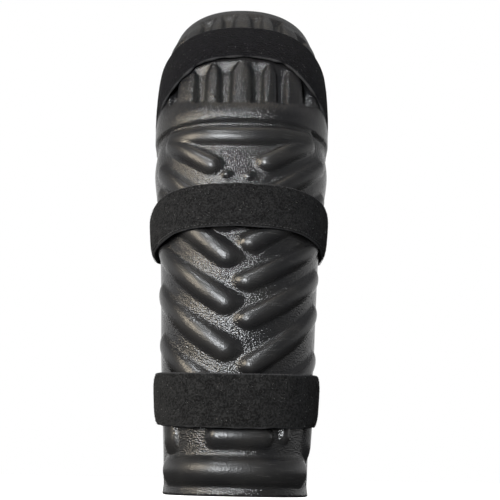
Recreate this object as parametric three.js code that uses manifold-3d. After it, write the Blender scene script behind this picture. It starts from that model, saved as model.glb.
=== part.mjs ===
import * as THREE from 'three';
import { mergeVertices } from 'three/addons/utils/BufferGeometryUtils.js';
import Module from 'manifold-3d';

// A moulded knee and shin pad with three straps, standing on its bottom rim.
// Millimetres: X runs across the leg, Y from the shin to the calf, and Z up.

// Driving sizes
const HEIGHT = 480;
const WIDTH = 167;
const DEPTH = 82;
const CALF_DEPTH = 44;
const EDGE_SHARE = 0.26;
const SHELL_WALL = 4.5;
const KNEE_STEP = 4;
const STEP_RUN = 6;
const POCKET_DEPTH = 7;
const POCKET_WIDTH = 21;
const POCKET_FLOOR = 6;
const POCKET_SLOPE = 13;
const CUTTER_RISE = 2;
const BAR_WIDTH = 20;
const BAR_HEIGHT = 6;
const BAR_EDGE = 0.9;
const STRAP_WIDTH = 45;
const STRAP_THICKNESS = 2.6;
const CLEARANCE = 0.3;
// A flat strap bridges the round of the knee cup and stands a little clear of it.
const DOME_LIFT = 1.6;

// How full the rounded front is: 1 is an ellipse, and less is squarer.
const FULLNESS = 0.89;
// Share of the half wrap that is rounded; the rest is the straight side edge.
const BEND = 0.84;
// How fast the bars sink towards the sides, where the mould draws along them: 0 is not at all.
const DRAFT = 0.7;
// How fast a bar falls off from its crest: 1 is a half circle, and less is fuller.
const BAR_ROUND = 0.8;
// How small a pocket is at the end of its upper slope, as a share of its width and of its depth.
const POCKET_END = 0.45;
const POCKET_END_DEPTH = 0.05;

// How finely the faces are divided.
const SHIN_ROWS = 13;
const STEP_ROWS = 2;
const KNEE_ROWS = 10;
const SHELL_COLUMNS = 24;
const BAR_CAP_STEPS = 2;
const BAR_ARCH_STEPS = 4;
const BAR_CAP_START = 0.35;
const POCKET_STEPS = 4;
const STRAP_STATIONS = 56;
const STRAP_ACROSS = 3;

// Sections from the bottom rim to the top rim of the knee cup. Each has its height as a share of HEIGHT,
// its half width as a share of half WIDTH, its set-back and depth as shares of DEPTH, and its tilt in degrees.
const SECTIONS = [
  { up: 0.000, front: 0.030, half: 0.745, depth: 0.930, tilt: 0 },
  { up: 0.070, front: 0.030, half: 0.762, depth: 0.940, tilt: 0 },
  { up: 0.140, front: 0.020, half: 0.788, depth: 0.950, tilt: 0 },
  { up: 0.240, front: 0.000, half: 0.825, depth: 0.960, tilt: 0 },
  { up: 0.340, front: 0.000, half: 0.850, depth: 0.960, tilt: 0 },
  { up: 0.440, front: 0.015, half: 0.880, depth: 0.960, tilt: 0 },
  { up: 0.530, front: 0.035, half: 0.925, depth: 0.960, tilt: 0 },
  { up: 0.610, front: 0.050, half: 0.985, depth: 0.960, tilt: 2 },
  { up: 0.665, front: 0.085, half: 0.965, depth: 0.950, tilt: 6 },
  { up: 0.730, front: 0.165, half: 0.925, depth: 0.910, tilt: 15 },
  { up: 0.800, front: 0.275, half: 0.915, depth: 0.880, tilt: 27 },
  { up: 0.865, front: 0.430, half: 0.905, depth: 0.860, tilt: 40 },
  { up: 0.925, front: 0.630, half: 0.885, depth: 0.840, tilt: 54 },
  { up: 0.974, front: 0.830, half: 0.835, depth: 0.820, tilt: 66 },
  { up: 1.000, front: 0.970, half: 0.800, depth: 0.800, tilt: 74 },
];
const TOP = SECTIONS[SECTIONS.length - 1].up;
const GROOVE = 0.680;

// Raised bars. u is the share of the half wrap, from -1 at the left edge to 1 at the right edge, and up the
// share of HEIGHT, at the two ends; width and height are shares of BAR_WIDTH and BAR_HEIGHT.
const BARS = [
  { u: -0.56, up: 0.598, toU: -0.09, toUp: 0.488, width: 1.10, height: 1 },
  { u: -0.64, up: 0.548, toU: -0.07, toUp: 0.421, width: 1.10, height: 1 },
  { u: -0.68, up: 0.447, toU: -0.07, toUp: 0.335, width: 1.10, height: 1 },
  { u: -0.68, up: 0.360, toU: -0.07, toUp: 0.252, width: 1.10, height: 1 },
  { u: -0.64, up: 0.265, toU: -0.10, toUp: 0.172, width: 1.10, height: 1 },
  { u: 0.56, up: 0.617, toU: 0.09, toUp: 0.525, width: 0.95, height: 1 },
  { u: 0.66, up: 0.548, toU: 0.06, toUp: 0.446, width: 0.95, height: 1 },
  { u: 0.66, up: 0.464, toU: 0.045, toUp: 0.374, width: 0.95, height: 1 },
  { u: 0.66, up: 0.396, toU: 0.055, toUp: 0.305, width: 0.95, height: 1 },
  { u: 0.66, up: 0.328, toU: 0.075, toUp: 0.223, width: 0.95, height: 1 },
  { u: 0.69, up: 0.242, toU: 0.20, toUp: 0.168, width: 0.95, height: 1 },
  { u: -0.46, up: 0.664, toU: 0.00, toUp: 0.657, width: 1.00, height: 1 },
  { u: 0.00, up: 0.657, toU: 0.43, toUp: 0.668, width: 1.00, height: 1 },
  { u: -0.47, up: 0.655, toU: -0.16, toUp: 0.598, width: 0.95, height: 1 },
  { u: 0.44, up: 0.660, toU: 0.140, toUp: 0.605, width: 0.95, height: 1 },
  { u: -0.53, up: 0.155, toU: -0.46, toUp: 0.090, width: 0.95, height: 0.9 },
  { u: -0.14, up: 0.100, toU: 0.19, toUp: 0.100, width: 1.00, height: 1 },
  { u: 0.34, up: 0.140, toU: 0.34, toUp: 0.102, width: 0.62, height: 0.7 },
  { u: 0.59, up: 0.130, toU: 0.59, toUp: 0.090, width: 0.80, height: 0.8 },
  { u: -0.57, up: 0.040, toU: 0.00, toUp: 0.040, width: 1.30, height: 1 },
  { u: 0.00, up: 0.040, toU: 0.55, toUp: 0.040, width: 1.30, height: 1 },
  { u: -0.07, up: 0.578, toU: -0.07, toUp: 0.578, width: 0.48, height: 0.7 },
  { u: 0.035, up: 0.575, toU: 0.035, toUp: 0.575, width: 0.48, height: 0.7 },
];

// Pockets between the ribs of the knee cup: their places across it, and widths as shares of POCKET_WIDTH.
const POCKET_COLUMNS = [
  { u: -0.500, width: 0.90 },
  { u: -0.255, width: 0.90 },
  { u: -0.093, width: 0.85 },
  { u: 0.076, width: 0.75 },
  { u: 0.232, width: 0.70 },
  { u: 0.450, width: 0.90 },
];
// The two rows of pockets: bottom and top as shares of HEIGHT, and how far the side ones shift up or down.
const POCKET_ROWS = [
  { low: 0.727, high: 0.829, lowShift: 0.120, highShift: -0.020 },
  { low: 0.905, high: 0.987, lowShift: 0.000, highShift: -0.060 },
];

// Straps: width as a share of STRAP_WIDTH, and how far the strap lifts off the wrap. At each of STRAP_PLACES, from
// the front to the back of the leg, heights are shares of HEIGHT, and lifts are shares of the lift.
const STRAP_PLACES = [0, 0.35, 0.72, 1, 2];
const STRAPS = [
  {
    name: 'knee_strap',
    width: 1.03,
    lift: KNEE_STEP + DOME_LIFT,
    heights: [0.874, 0.868, 0.830, 0.802, 0.820],
    lifts: [1, 1, 0.95, 0.78, 0],
  },
  {
    name: 'calf_strap',
    width: 0.90,
    lift: BAR_HEIGHT,
    heights: [0.514, 0.509, 0.487, 0.470, 0.490],
    lifts: [1, 0.96, 0.68, 0.5, 0.5],
  },
  {
    name: 'ankle_strap',
    width: 1.00,
    lift: BAR_HEIGHT,
    heights: [0.160, 0.163, 0.170, 0.176, 0.174],
    lifts: [1, 0.96, 0.66, 0.5, 0.5],
  },
];
// The free end of each strap lies on the strap itself over this stretch of the back.
const TAIL = { from: 1.25, to: 1.75 };

// The wrap ends at this share behind the calf, on either side.
const BACK = 2;

const wasm = await Module();
wasm.setup();

// Smooth curve through the rows of a table: the value of one column at a place.
function along(places, values, place) {
  const last = places.length - 1;
  let i = 0;
  while (i < last - 1 && place > places[i + 1]) {
    i += 1;
  }
  const slope = (k) => {
    const a = Math.max(k - 1, 0);
    const b = Math.min(k + 1, last);
    return (values[b] - values[a]) / (places[b] - places[a]);
  };
  const run = places[i + 1] - places[i];
  const t = (place - places[i]) / run;
  const rise = values[i + 1] - values[i];
  const start = slope(i) * run;
  const end = slope(i + 1) * run;
  return values[i] + t * (start + t * (3 * rise - 2 * start - end + t * (start + end - 2 * rise)));
}

const UPS = SECTIONS.map((row) => row.up);
function sectionValue(column, up) {
  return along(UPS, SECTIONS.map((row) => row[column]), up);
}

// The share of the quarter turn that the rounded front has made at a share of the half wrap.
function frontTurn(around) {
  return around / BEND * Math.PI / 2;
}

// A point of the wrap: the shell's outer form for u from -1 to 1, carried on round the back of the leg.
function wrapPoint(place, up) {
  const u = THREE.MathUtils.euclideanModulo(place + BACK, 2 * BACK) - BACK;
  const half = sectionValue('half', up) * WIDTH / 2;
  const depth = sectionValue('depth', up) * DEPTH;
  const tilt = THREE.MathUtils.degToRad(sectionValue('tilt', up));
  const edge = depth * EDGE_SHARE;
  const around = Math.abs(u);
  let x = half;
  let back = depth - edge * (1 - around) / (1 - BEND);
  if (around < BEND) {
    const angle = frontTurn(around);
    x = half * Math.sin(angle) ** FULLNESS;
    back = (depth - edge) * (1 - Math.cos(angle) ** FULLNESS);
  }
  if (around > 1) {
    const angle = (around - 1) * Math.PI / 2;
    x = half * Math.max(Math.cos(angle), 0) ** FULLNESS;
    back = depth + CALF_DEPTH * Math.sin(angle) ** FULLNESS;
  }
  const front = sectionValue('front', up) * DEPTH;
  return new THREE.Vector3(
    Math.sign(u) * x,
    front + back * Math.cos(tilt),
    up * HEIGHT - back * Math.sin(tilt),
  );
}

// The wrap's outward direction.
function wrapNormal(u, up) {
  const step = 0.004;
  const across = wrapPoint(u + step, up).sub(wrapPoint(u - step, up));
  const rising = wrapPoint(u, up + step).sub(wrapPoint(u, up - step));
  return across.cross(rising).normalize();
}

// A point at a height above the wrap.
function onWrap(u, up, above) {
  return wrapPoint(u, up).addScaledVector(wrapNormal(u, up), above);
}

// Millimetres of wrap for one whole share of it, measured round the front half way up.
function wrapLength() {
  const steps = 40;
  let length = 0;
  for (let i = 0; i < steps; i += 1) {
    const here = wrapPoint(BEND * i / steps, 0.5);
    const next = wrapPoint(BEND * (i + 1) / steps, 0.5);
    length += here.distanceTo(next);
  }
  return length / BEND;
}
const WRAP = wrapLength();

// A closed band of rings with equally many points. Where the rings don't join up, the ends stay open.
function ringBand(rings, looped) {
  const count = rings[0].length;
  const positions = rings.flat().flatMap((p) => [p.x, p.y, p.z]);
  const index = [];
  const bands = looped ? rings.length : rings.length - 1;
  for (let r = 0; r < bands; r += 1) {
    const here = r * count;
    const next = (r + 1) % rings.length * count;
    for (let k = 0; k < count; k += 1) {
      const l = (k + 1) % count;
      index.push(here + k, here + l, next + l, here + k, next + l, next + k);
    }
  }
  return { positions, index };
}

function bandGeometry({ positions, index }) {
  const geometry = new THREE.BufferGeometry();
  geometry.setAttribute('position', new THREE.Float32BufferAttribute(positions, 3));
  geometry.setIndex(index);
  geometry.computeVertexNormals();
  return geometry;
}

// A closed body from rings, with a fan of triangles over each end.
function fanEndedBody(rings) {
  const { positions, index } = ringBand(rings, false);
  const count = rings[0].length;
  const ends = [{ ring: 0, flip: true }, { ring: rings.length - 1, flip: false }];
  for (const { ring, flip } of ends) {
    const start = ring * count;
    const centre = positions.length / 3;
    const middle = new THREE.Vector3();
    for (const point of rings[ring]) {
      middle.addScaledVector(point, 1 / count);
    }
    positions.push(middle.x, middle.y, middle.z);
    for (let k = 0; k < count; k += 1) {
      const l = (k + 1) % count;
      const pair = flip ? [start + l, start + k] : [start + k, start + l];
      index.push(centre, ...pair);
    }
  }
  return bandGeometry({ positions, index });
}

// A closed body from rings whose outer and inner halves face each other, with flat ends between the halves.
function flatEndedBody(rings) {
  const { positions, index } = ringBand(rings, false);
  const count = rings[0].length;
  const columns = count / 2 - 1;
  const ends = [{ ring: 0, flip: true }, { ring: rings.length - 1, flip: false }];
  for (const { ring, flip } of ends) {
    const start = ring * count;
    for (let i = 0; i < columns; i += 1) {
      const quad = [start + i, start + i + 1, start + count - 2 - i, start + count - 1 - i];
      if (flip) {
        quad.reverse();
      }
      index.push(quad[0], quad[1], quad[2], quad[0], quad[2], quad[3]);
    }
  }
  return bandGeometry({ positions, index });
}

function toSolid(geometry) {
  geometry.deleteAttribute('normal');
  const merged = mergeVertices(geometry, 1e-5);
  return new wasm.Manifold(new wasm.Mesh({
    numProp: 3,
    vertProperties: new Float32Array(merged.attributes.position.array),
    triVerts: new Uint32Array(merged.index.array),
  }));
}

function toGeometry(solid) {
  const mesh = solid.getMesh();
  const geometry = new THREE.BufferGeometry();
  geometry.setAttribute('position', new THREE.BufferAttribute(mesh.vertProperties, 3));
  geometry.setIndex(new THREE.BufferAttribute(mesh.triVerts, 1));
  geometry.computeVertexNormals();
  return geometry;
}

// The knee cup stands a step proud of the shin plate.
function kneeStep(up) {
  return KNEE_STEP * THREE.MathUtils.smoothstep(up, GROOVE, GROOVE + STEP_RUN / HEIGHT);
}

// The rows of the plain shell, as shares of HEIGHT: more of them where it steps and bends.
function shellRows() {
  const stepEnd = GROOVE + STEP_RUN / HEIGHT;
  const spans = [
    { from: 0, to: GROOVE, rows: SHIN_ROWS },
    { from: GROOVE, to: stepEnd, rows: STEP_ROWS },
    { from: stepEnd, to: TOP, rows: KNEE_ROWS },
  ];
  const rows = spans.flatMap(({ from, to, rows: count }) => (
    Array.from({ length: count }, (_, i) => THREE.MathUtils.lerp(from, to, i / count))
  ));
  return [...rows, TOP];
}

// The plain shell: one ring for each row, out along the outer face and back along the inner one.
function plainShell() {
  const rings = shellRows().map((up) => {
    const step = kneeStep(up);
    const inner = -SHELL_WALL - (POCKET_DEPTH - KNEE_STEP) * step / KNEE_STEP;
    const shares = Array.from({ length: SHELL_COLUMNS + 1 }, (_, i) => 2 * i / SHELL_COLUMNS - 1);
    const outerPoints = shares.map((u) => onWrap(u, up, step));
    const innerPoints = shares.map((u) => onWrap(u, up, inner)).reverse();
    const ring = [...outerPoints, ...innerPoints];
    if (up === 0) {
      ring.forEach((point) => point.setZ(0));
    }
    return ring;
  });
  return toSolid(flatEndedBody(rings));
}

// The height of the bars at a share of the half wrap, as a share of their full height.
function draft(u) {
  return Math.max(Math.cos(frontTurn(Math.abs(u))), 0) ** DRAFT;
}

// The stations of a bar: how far along it each is, and its size as a share of the full section.
function barStations(length, half) {
  const caps = Array.from({ length: BAR_CAP_STEPS + 1 }, (_, i) => {
    const angle = (i + BAR_CAP_START) / (BAR_CAP_STEPS + BAR_CAP_START) * Math.PI / 2;
    return { back: half * Math.cos(angle), size: Math.sin(angle) };
  });
  const steps = Math.ceil(length / BAR_WIDTH);
  const middles = Array.from({ length: Math.max(steps - 1, 0) }, (_, i) => (i + 1) / steps * length);
  return [
    ...caps.map(({ back, size }) => ({ at: -back, size })),
    ...middles.map((at) => ({ at, size: 1 })),
    ...caps.reverse().map(({ back, size }) => ({ at: length + back, size })).slice(length > 0 ? 0 : 1),
  ];
}

// A raised bar with round ends that follows the wrap between two places.
function barBody(bar) {
  const half = BAR_WIDTH * bar.width / 2;
  const height = BAR_HEIGHT * bar.height;
  const sunk = SHELL_WALL / 2;
  const start = new THREE.Vector2(bar.u * WRAP, bar.up * HEIGHT);
  const end = new THREE.Vector2(bar.toU * WRAP, bar.toUp * HEIGHT);
  const run = end.clone().sub(start);
  const length = run.length();
  const forward = length > 0 ? run.divideScalar(length) : new THREE.Vector2(1, 0);
  const sideways = new THREE.Vector2(-forward.y, forward.x);
  const rings = barStations(length, half).map(({ at, size }) => {
    const spot = (aside, above) => {
      const flat = start.clone().addScaledVector(forward, at).addScaledVector(sideways, aside);
      const u = flat.x / WRAP;
      return onWrap(u, flat.y / HEIGHT, above > 0 ? above * draft(u) : above);
    };
    const ring = [spot(half * size, -sunk)];
    for (let i = 0; i <= BAR_ARCH_STEPS; i += 1) {
      const angle = (0.5 - i / BAR_ARCH_STEPS) * Math.PI;
      const rise = size * Math.max(Math.cos(angle), 0) ** BAR_ROUND;
      ring.push(spot(half * size * Math.sin(angle), BAR_EDGE + (height - BAR_EDGE) * rise));
    }
    ring.push(spot(-half * size, -sunk));
    return ring;
  });
  return toSolid(fanEndedBody(rings));
}

// The cutter of one pocket: narrow at its floor, upright at its lower end and sloping at its upper end.
function pocketCutter(column, row) {
  const low = row.low + row.lowShift * column.u ** 2;
  const high = row.high + row.highShift * column.u ** 2;
  const slopeStart = high - POCKET_SLOPE / HEIGHT;
  const width = POCKET_WIDTH * column.width;
  const spread = POCKET_FLOOR + (width - POCKET_FLOOR) * (1 + CUTTER_RISE / POCKET_DEPTH);
  const stations = Array.from({ length: POCKET_STEPS + 1 }, (_, i) => (
    { up: THREE.MathUtils.lerp(low, slopeStart, i / POCKET_STEPS), size: 1, sunk: 1 }
  ));
  stations.push({ up: high, size: POCKET_END, sunk: POCKET_END_DEPTH });
  const rings = stations.map(({ up, size, sunk }) => {
    const step = kneeStep(up);
    const top = spread * size / 2 / WRAP;
    const floor = POCKET_FLOOR * size / 2 / WRAP;
    return [
      onWrap(column.u + top, up, step + CUTTER_RISE),
      onWrap(column.u + floor, up, step - POCKET_DEPTH * sunk),
      onWrap(column.u - floor, up, step - POCKET_DEPTH * sunk),
      onWrap(column.u - top, up, step + CUTTER_RISE),
    ];
  });
  return toSolid(fanEndedBody(rings));
}

function shell() {
  let solid = plainShell();
  for (const bar of BARS) {
    solid = solid.add(barBody(bar));
  }
  for (const row of POCKET_ROWS) {
    for (const column of POCKET_COLUMNS) {
      solid = solid.subtract(pocketCutter(column, row));
    }
  }
  return toGeometry(solid);
}

// How the two shares of the wrap change for each millimetre in a direction along it.
function sharesPerMillimetre(u, up, direction) {
  const step = 0.01;
  const perU = onWrap(u + step, up, 0).sub(onWrap(u - step, up, 0)).divideScalar(2 * step);
  const perUp = onWrap(u, up + step, 0).sub(onWrap(u, up - step, 0)).divideScalar(2 * step);
  const uu = perU.dot(perU);
  const vv = perUp.dot(perUp);
  const uv = perU.dot(perUp);
  const du = direction.dot(perU);
  const dv = direction.dot(perUp);
  const det = uu * vv - uv * uv;
  return { u: (du * vv - dv * uv) / det, up: (dv * uu - du * uv) / det };
}

// A strap: a flat band that lies over the front of the shell and closes on itself behind the leg.
function strap({ width, lift, heights, lifts }) {
  const around = (place) => BACK - Math.abs(BACK - Math.abs(place));
  const middle = (place) => along(STRAP_PLACES, heights, around(place));
  const rings = Array.from({ length: STRAP_STATIONS }, (_, i) => {
    const u = 2 * BACK * i / STRAP_STATIONS - BACK;
    const step = 0.01;
    const run = onWrap(u + step, middle(u + step), 0).sub(onWrap(u - step, middle(u - step), 0)).normalize();
    const aside = wrapNormal(u, middle(u)).cross(run).normalize();
    const perMillimetre = sharesPerMillimetre(u, middle(u), aside);
    const onTail = u > TAIL.from && u < TAIL.to;
    const thickness = STRAP_THICKNESS * (onTail ? 2 : 1);
    const under = lift * along(STRAP_PLACES, lifts, around(u)) + CLEARANCE;
    const across = Array.from({ length: STRAP_ACROSS + 1 }, (_, k) => k / STRAP_ACROSS - 0.5);
    const face = (above) => across.map((share) => {
      const off = STRAP_WIDTH * width * share;
      return onWrap(u + perMillimetre.u * off, middle(u) + perMillimetre.up * off, above);
    });
    return [...face(under), ...face(under + thickness).reverse()];
  });
  return bandGeometry(ringBand(rings, true));
}

const SHELL_BLACK = 0x1b1b1c;
const WEBBING_BLACK = 0x0b0b0c;
function material(name, color, roughness) {
  const finish = new THREE.MeshStandardMaterial({ color, roughness, metalness: 0 });
  finish.name = name;
  return finish;
}

const group = new THREE.Group();
const shellMesh = new THREE.Mesh(shell(), material('moulded_shell', SHELL_BLACK, 0.38));
shellMesh.name = 'shell';
group.add(shellMesh);
for (const row of STRAPS) {
  const mesh = new THREE.Mesh(strap(row), material('strap_webbing', WEBBING_BLACK, 0.95));
  mesh.name = row.name;
  group.add(mesh);
}

// The origin is under the middle of the whole pad.
const box = new THREE.Box3().setFromObject(group);
group.position.set(-(box.min.x + box.max.x) / 2, -(box.min.y + box.max.y) / 2, -box.min.z);
group.updateMatrixWorld(true);

export default group;
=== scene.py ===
# %% [markdown]
# A knee and shin pad is one rigid moulded shell and three soft straps. The imported solids already fix its
# size and its main shapes, so this lesson loads them as a frame and lays a finer skin over each one.

# %% Load the frame
import math
from collections import namedtuple

import bmesh
import bpy
import numpy as np
from mathutils import Matrix, Vector


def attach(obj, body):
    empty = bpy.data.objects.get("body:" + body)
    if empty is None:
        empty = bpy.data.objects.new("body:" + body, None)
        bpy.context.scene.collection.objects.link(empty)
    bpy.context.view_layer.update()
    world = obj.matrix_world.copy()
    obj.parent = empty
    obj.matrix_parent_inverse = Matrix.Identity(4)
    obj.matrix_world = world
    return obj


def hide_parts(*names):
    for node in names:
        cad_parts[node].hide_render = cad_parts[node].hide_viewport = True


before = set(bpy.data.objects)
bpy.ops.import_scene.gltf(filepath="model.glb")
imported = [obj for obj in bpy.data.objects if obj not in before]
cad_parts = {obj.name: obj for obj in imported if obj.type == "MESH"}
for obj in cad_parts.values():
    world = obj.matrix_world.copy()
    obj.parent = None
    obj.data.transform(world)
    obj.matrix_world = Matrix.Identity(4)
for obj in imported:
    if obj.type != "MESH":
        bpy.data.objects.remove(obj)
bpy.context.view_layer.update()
print("solids:", sorted(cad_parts))

# %% [markdown]
# The camera comes first, because every later choice is judged through it. A pad this tall is usually
# photographed from close by and from near the table, looking slightly up, so the knee cup leans away and
# the straps arch. A real camera is a place, a direction and a lens, and these are set as a place, a pitch,
# a small roll and a focal length.

# %% Camera
CAMERA_PLACE = Vector((0.0004, -0.7965, 0.017))
CAMERA_PITCH = math.radians(14.48)
CAMERA_ROLL = math.radians(1.1)
CAMERA_LENS = 62.85
CAMERA_SHIFT = 0.02


def photographer():
    """A camera that looks up at the pad from just above the table."""
    lens = bpy.data.cameras.new("photo_camera")
    lens.lens = CAMERA_LENS
    lens.sensor_width = 36.0
    lens.shift_x = CAMERA_SHIFT
    camera = bpy.data.objects.new("photo_camera", lens)
    turn = Matrix.Rotation(math.pi / 2 + CAMERA_PITCH, 4, "X") @ Matrix.Rotation(CAMERA_ROLL, 4, "Z")
    camera.matrix_world = Matrix.Translation(CAMERA_PLACE) @ turn
    bpy.context.scene.collection.objects.link(camera)
    bpy.context.scene.camera = camera
    return camera


print("camera:", photographer().name, "lens", CAMERA_LENS, "mm")

# %% [markdown]
# The shell is one curved sheet, so every point of it has two places: how far round the leg it is, and how
# high up. Sections from the bottom rim to the top rim say how wide, deep, set back and tilted the sheet is
# at each height. A smooth curve through the rows of the table fills in between. These are the sections that
# the solids were made from, in millimetres, so the finer skin lands on the same sheet without any fitting.

# %% The pad's sections
HEIGHT = 480.0
WIDTH = 167.0
DEPTH = 82.0
CALF_DEPTH = 44.0
EDGE_SHARE = 0.26
FULLNESS = 0.89
BEND = 0.84
SHELL_WALL = 4.5
ORIGIN_BACK = 61.529
METRES = 0.001

Section = namedtuple("Section", "up front half depth tilt")
SECTIONS = [
    Section(0.000, 0.030, 0.745, 0.930, 0),
    Section(0.070, 0.030, 0.762, 0.940, 0),
    Section(0.140, 0.020, 0.788, 0.950, 0),
    Section(0.240, 0.000, 0.825, 0.960, 0),
    Section(0.340, 0.000, 0.850, 0.960, 0),
    Section(0.440, 0.015, 0.880, 0.960, 0),
    Section(0.530, 0.035, 0.925, 0.960, 0),
    Section(0.610, 0.050, 0.985, 0.960, 2),
    Section(0.665, 0.085, 0.965, 0.950, 6),
    Section(0.730, 0.165, 0.925, 0.910, 15),
    Section(0.800, 0.275, 0.915, 0.880, 27),
    Section(0.865, 0.430, 0.905, 0.860, 40),
    Section(0.925, 0.630, 0.885, 0.840, 54),
    Section(0.974, 0.830, 0.835, 0.820, 66),
    Section(1.000, 0.970, 0.800, 0.800, 74),
]
SECTION_UPS = np.array([section.up for section in SECTIONS])


def along(places, values, place):
    """The smooth curve through (places, values), read at each place."""
    places = np.asarray(places, float)
    values = np.asarray(values, float)
    place = np.asarray(place, float)
    last = len(places) - 1
    row = np.clip(np.searchsorted(places, place, side="left") - 1, 0, last - 1)
    before = np.maximum(np.arange(last + 1) - 1, 0)
    after = np.minimum(np.arange(last + 1) + 1, last)
    slope = (values[after] - values[before]) / (places[after] - places[before])
    run = places[row + 1] - places[row]
    t = (place - places[row]) / run
    rise = values[row + 1] - values[row]
    start = slope[row] * run
    end = slope[row + 1] * run
    return values[row] + t * (start + t * (3 * rise - 2 * start - end + t * (start + end - 2 * rise)))


def section_value(column, up):
    return along(SECTION_UPS, [getattr(section, column) for section in SECTIONS], up)


knee_half = float(section_value("half", 0.8)) * WIDTH / 2
print("sections:", len(SECTIONS), "half width at the knee:", round(knee_half, 1))

# %% [markdown]
# The sheet is called the wrap. Its share round the leg runs from -1 at the left back edge of the shell,
# through 0 at the shin, to 1 at the right back edge, and on to 2 behind the calf, where only the straps go.
# A flat map in millimetres goes with it, like leather before it is bent: the relief is drawn on that map
# and then lifted off the wrap along its outward direction.

# %% The wrap
def wrap_point(share, up):
    """Points of the wrap in millimetres, for shares round the leg and shares of the height."""
    share, up = np.broadcast_arrays(np.asarray(share, float), np.asarray(up, float))
    share = (share + 2) % 4 - 2
    half = section_value("half", up) * WIDTH / 2
    depth = section_value("depth", up) * DEPTH
    tilt = np.radians(section_value("tilt", up))
    edge = depth * EDGE_SHARE
    around = np.abs(share)
    front_turn = np.clip(around / BEND, 0, 1) * math.pi / 2
    back_turn = np.clip(around - 1, 0, 1) * math.pi / 2
    on_front = around < BEND
    on_side = around <= 1
    front_x = half * np.sin(front_turn) ** FULLNESS
    back_x = half * np.clip(np.cos(back_turn), 0, 1) ** FULLNESS
    front_back = (depth - edge) * (1 - np.clip(np.cos(front_turn), 0, 1) ** FULLNESS)
    side_back = depth - edge * (1 - around) / (1 - BEND)
    calf_back = depth + CALF_DEPTH * np.sin(back_turn) ** FULLNESS
    x = np.where(on_front, front_x, np.where(on_side, half, back_x))
    back = np.where(on_front, front_back, np.where(on_side, side_back, calf_back))
    front = section_value("front", up) * DEPTH
    return np.stack([np.sign(share) * x, front + back * np.cos(tilt), up * HEIGHT - back * np.sin(tilt)], -1)


def wrap_normal(share, up, step=0.004):
    """The outward directions of the wrap."""
    share = np.asarray(share, float)
    up = np.asarray(up, float)
    across = wrap_point(share + step, up) - wrap_point(share - step, up)
    rising = wrap_point(share, up + step) - wrap_point(share, up - step)
    normal = np.cross(across, rising)
    return normal / np.linalg.norm(normal, axis=-1, keepdims=True)


def on_wrap(share, up, above):
    """Points at a height in millimetres above the wrap."""
    return wrap_point(share, up) + np.asarray(above, float)[..., None] * wrap_normal(share, up)


front_line = wrap_point(np.linspace(0, BEND, 41), 0.5)
WRAP = float(np.linalg.norm(np.diff(front_line, axis=0), axis=1).sum()) / BEND
print("millimetres of wrap from the shin to a back edge:", round(WRAP, 1))

# %% [markdown]
# The relief is what makes the shell read as a moulding: slanted round bars that meet in a V down the shin,
# a bracket over them, small buttons, and deep V pockets between the ribs of the knee cup. They could be
# modelled one by one and joined, but then each foot would be a sharp crease. A moulding has soft feet, so
# the bars are drawn as heights on one fine map, where the highest wins, and the map is softened a little
# before it is used. A few bars, buttons and pockets differ by a millimetre or more from the solids, after
# the render was compared with the photograph.

# %% The relief map
MAP_STEP = 0.5
GROOVE = 0.680
STEP_RUN = 6.0
KNEE_STEP = 4.0
map_across = np.arange(-WRAP, WRAP + MAP_STEP, MAP_STEP)
map_rising = np.arange(0.0, HEIGHT + MAP_STEP, MAP_STEP)
FLAT_X, FLAT_Y = np.meshgrid(map_across, map_rising)
MAP_SHARE = FLAT_X / WRAP
MAP_UP = FLAT_Y / HEIGHT


def ramp(value, low, high):
    """0 below low, 1 above high, and a smooth rise between."""
    t = np.clip((value - low) / (high - low), 0, 1)
    return t * t * (3 - 2 * t)


knee_step = KNEE_STEP * ramp(MAP_UP, GROOVE, GROOVE + STEP_RUN / HEIGHT)
print("relief map:", FLAT_X.shape, "samples,", MAP_STEP, "mm apart")

# %% Bars, bracket, knobs and buttons
BAR_WIDTH = 20.0
BAR_HEIGHT = 6.0
BAR_ROUNDNESS = 0.78
DRAFT = 0.55

Bar = namedtuple("Bar", "share up to_share to_up width height")
BARS = [
    Bar(-0.56, 0.598, -0.09, 0.488, 1.10, 1.0),
    Bar(-0.64, 0.548, -0.07, 0.421, 1.10, 1.0),
    Bar(-0.68, 0.447, -0.07, 0.335, 1.10, 1.0),
    Bar(-0.68, 0.360, -0.07, 0.252, 1.10, 1.0),
    Bar(-0.64, 0.265, -0.10, 0.172, 1.10, 1.0),
    Bar(0.56, 0.617, 0.090, 0.525, 0.95, 1.0),
    Bar(0.66, 0.548, 0.060, 0.446, 0.95, 1.0),
    Bar(0.66, 0.464, 0.045, 0.374, 0.95, 1.0),
    Bar(0.66, 0.396, 0.055, 0.305, 0.95, 1.0),
    Bar(0.66, 0.328, 0.075, 0.223, 0.95, 1.0),
    Bar(0.69, 0.242, 0.200, 0.168, 0.95, 1.0),
    Bar(-0.46, 0.664, 0.000, 0.657, 1.00, 1.0),
    Bar(0.00, 0.657, 0.430, 0.668, 1.00, 1.0),
    Bar(-0.47, 0.655, -0.16, 0.598, 0.95, 1.0),
    Bar(0.44, 0.660, 0.140, 0.605, 0.95, 1.0),
    Bar(-0.56, 0.150, -0.54, 0.098, 1.45, 1.10),
    Bar(-0.115, 0.100, 0.170, 0.100, 0.98, 0.9),
    Bar(0.34, 0.140, 0.340, 0.102, 0.62, 0.7),
    Bar(0.68, 0.135, 0.660, 0.092, 1.40, 1.15),
    Bar(-0.57, 0.0425, 0.000, 0.0425, 1.20, 1.35),
    Bar(0.00, 0.0425, 0.550, 0.0425, 1.20, 1.35),
    Bar(-0.07, 0.578, -0.07, 0.578, 0.42, 0.50),
    Bar(0.035, 0.575, 0.035, 0.575, 0.40, 0.45),
]

draft = np.clip(np.cos(np.clip(np.abs(MAP_SHARE) / BEND, 0, 1) * math.pi / 2), 0, 1) ** DRAFT


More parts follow.
